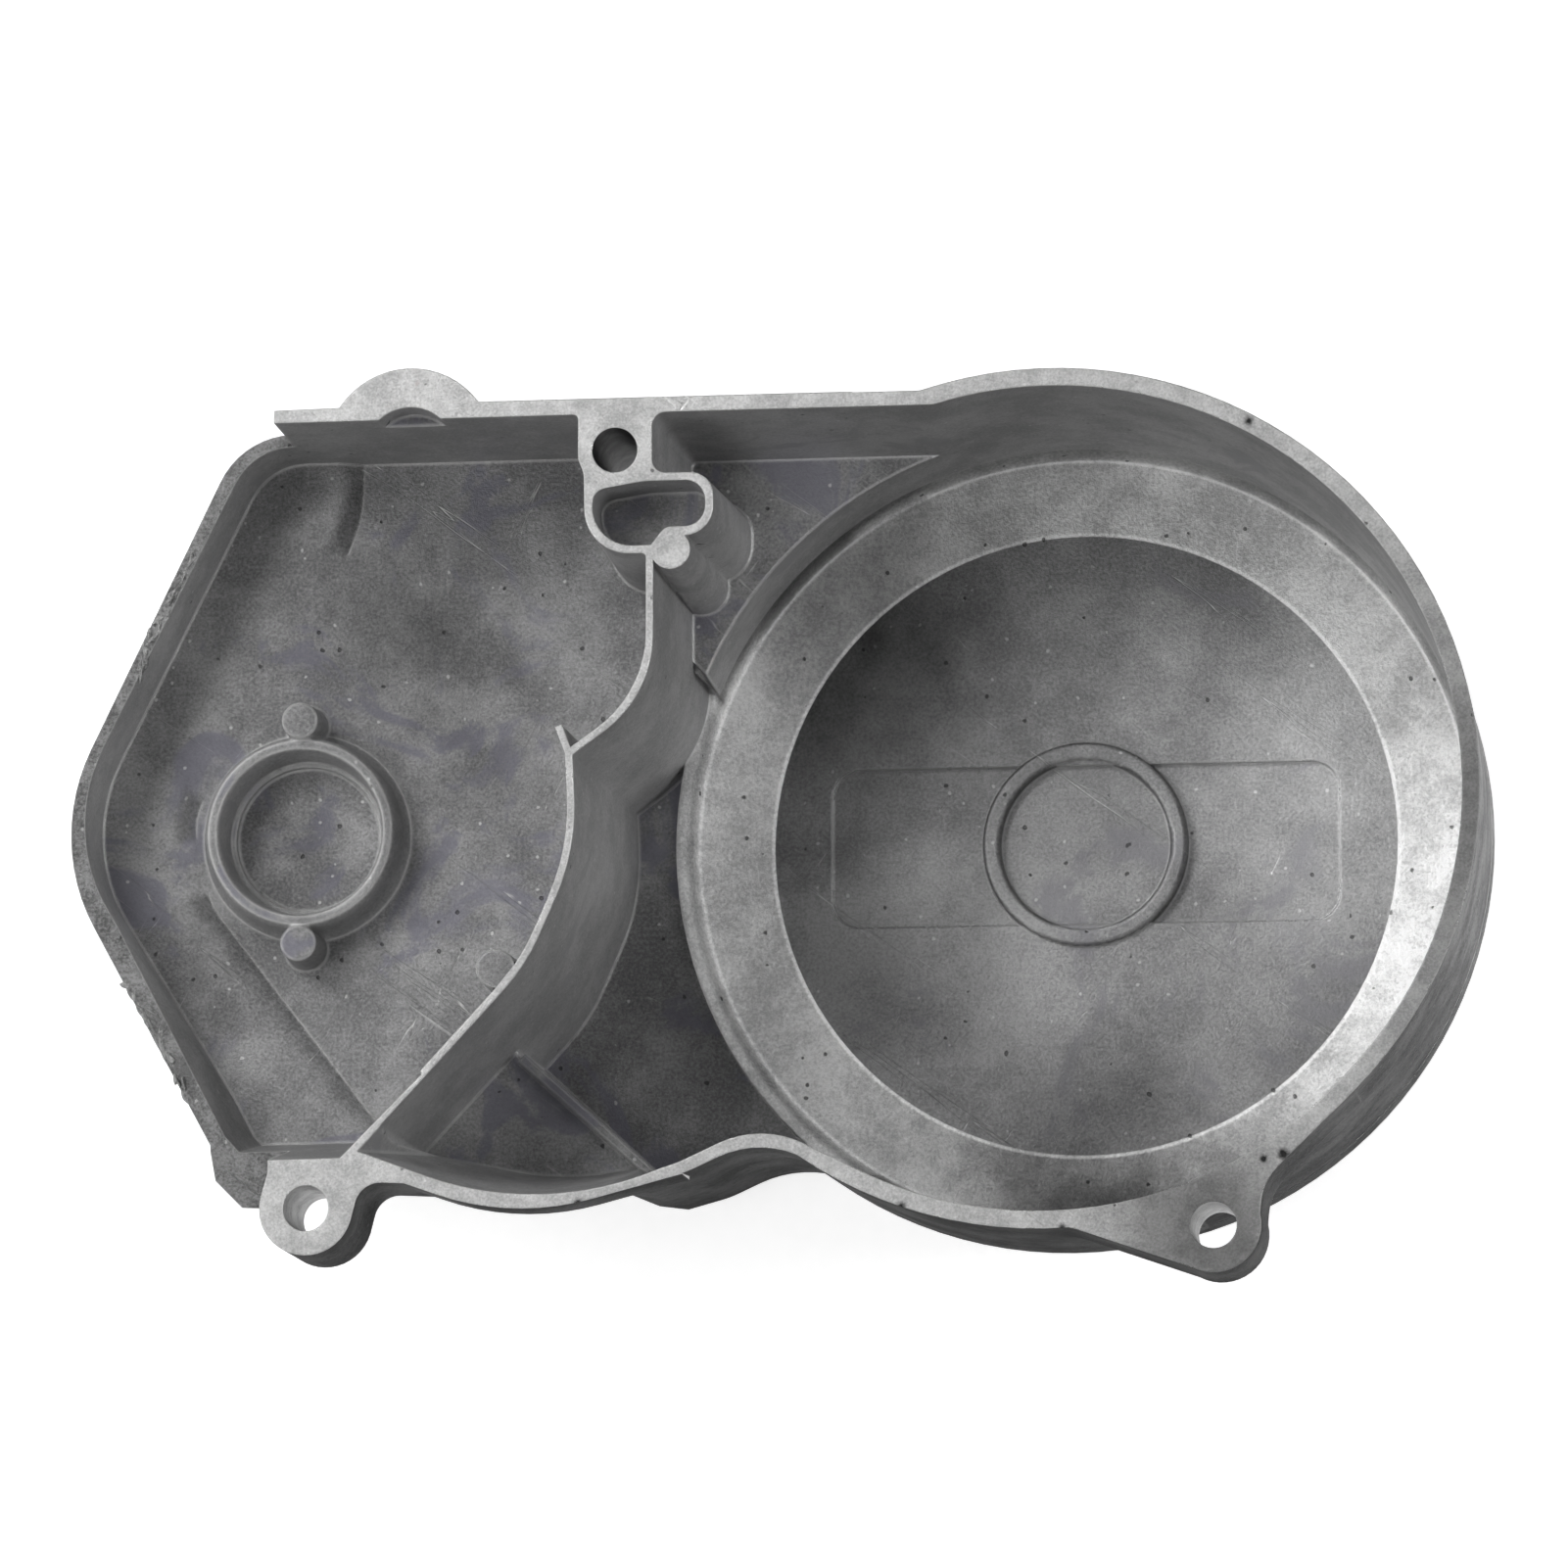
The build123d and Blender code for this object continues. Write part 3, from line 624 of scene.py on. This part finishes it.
def makeFlash(finish):
    points, steps = [], []
    for edge in wallFlash["edges"]:
        first = len(points)
        points += [(x, y, wallFlash["height"]) for x, y in edge]
        steps += [(first + n, first + n + 1) for n in range(len(edge) - 1)]
    mesh = bpy.data.meshes.new("flashPath")
    mesh.from_pydata(points, steps, [])
    path = bpy.data.objects.new("flashPath", mesh)
    bpy.context.collection.objects.link(path)
    tree = flashTree()
    chips = path.modifiers.new("chips", "NODES")
    chips.node_group = tree
    given = {"Spacing": wallFlash["spacing"], "Chip Size": wallFlash["chipSize"], "Wander": wallFlash["wander"],
             "Seed": wallFlash["seed"], "Finish": finish}
    for item in tree.interface.items_tree:
        if item.in_out == "INPUT" and item.name in given:
            chips[item.identifier] = given[item.name]
    seen = path.evaluated_get(bpy.context.evaluated_depsgraph_get())
    solid = bpy.data.meshes.new_from_object(seen)
    solid.name = "wallFlash"
    piece = bpy.data.objects.new("wallFlash", solid)
    bpy.context.collection.objects.link(piece)
    bpy.data.objects.remove(path)  # its modifier goes with it
    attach(piece, "root")
    print("flash made:", len(solid.polygons), "faces")


cornerWeb = {
    "low": (-0.0161, 0.0284, 0.0020),
    "high": (-0.0139, 0.0299, 0.0223),
    "round": 0.0002,
    "roundSteps": 2,
}


def makeWeb(finish):
    # small web of metal behind the deep pocket's upper corner
    low, high = Vector(cornerWeb["low"]), Vector(cornerWeb["high"])
    block = bmesh.new()
    bmesh.ops.create_cube(block, size=1.0)
    for corner in block.verts:
        corner.co = Vector([low[n] + (corner.co[n] + 0.5) * (high[n] - low[n]) for n in range(3)])
    bmesh.ops.bevel(block, geom=block.edges[:], offset=cornerWeb["round"], segments=cornerWeb["roundSteps"],
                    affect="EDGES")
    mesh = bpy.data.meshes.new("cornerWeb")
    block.to_mesh(mesh)
    block.free()
    mesh.materials.append(finish)
    piece = bpy.data.objects.new("cornerWeb", mesh)
    bpy.context.collection.objects.link(piece)
    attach(piece, "root")


sheet = {
    "half": 3.0,
    "height": -0.0005,
    "colour": (0.8, 0.8, 0.8),
    "shine": 0.72,  # how bright the camera and reflections see it
    "fibreScale": 700.0,
    "fibreDetail": 3.0,
    "fibreFrom": 0.3,
    "fibreTo": 0.7,
    "fibreDark": 0.97,
}


def makeFloor():
    half, height = sheet["half"], sheet["height"]
    mesh = bpy.data.meshes.new("floor")
    corners = [(x * half, y * half, height) for x, y in ((-1, -1), (1, -1), (1, 1), (-1, 1))]
    mesh.from_pydata(corners, [], [(0, 1, 2, 3)])
    floor = bpy.data.objects.new("floor", mesh)
    bpy.context.collection.objects.link(floor)
    material = bpy.data.materials.new("floorPaper")
    material.use_nodes = True
    tree = material.node_tree
    tree.nodes.clear()
    path = put(tree, "ShaderNodeLightPath").outputs
    mirrored = calc(tree, "MAXIMUM", path["Is Glossy Ray"], path["Is Transmission Ray"])
    seen = calc(tree, "MAXIMUM", path["Is Camera Ray"], mirrored)
    place = put(tree, "ShaderNodeTexCoord").outputs["Object"]
    fibre = noise(tree, place, sheet["fibreScale"], sheet["fibreDetail"])["Fac"]
    tone = ramp(tree, fibre, sheet["fibreFrom"], sheet["fibreTo"], sheet["fibreDark"], 1.0)
    strength = calc(tree, "MULTIPLY", seen, calc(tree, "MULTIPLY", tone, sheet["shine"]))
    diffuse = put(tree, "ShaderNodeBsdfDiffuse", {"Color": (*sheet["colour"], 1)}).outputs[0]
    glow = put(tree, "ShaderNodeEmission", {"Color": (1, 1, 1, 1), "Strength": strength}).outputs[0]
    both = put(tree, "ShaderNodeAddShader", {0: diffuse, 1: glow}).outputs[0]
    put(tree, "ShaderNodeOutputMaterial", {"Surface": both})
    mesh.materials.append(material)


bpy.context.scene.view_settings.view_transform = "Standard"
makeCamera()
makeLights()
makeFloor()
print("camera, lights and floor made")
groups = (castGrainGroup(), stainGroup(), scratchGroup(), edgeGroup(), speckGroup(), lightShadeNickSpotGroup())
materials = {name: makeFinish(name, groups) for name in finishes}
print("finishes made")
makeCover(materials)
print("casting made")
makeFlash(materials["tornMetal"])
makeWeb(materials["castWall"])
print("corner web made")
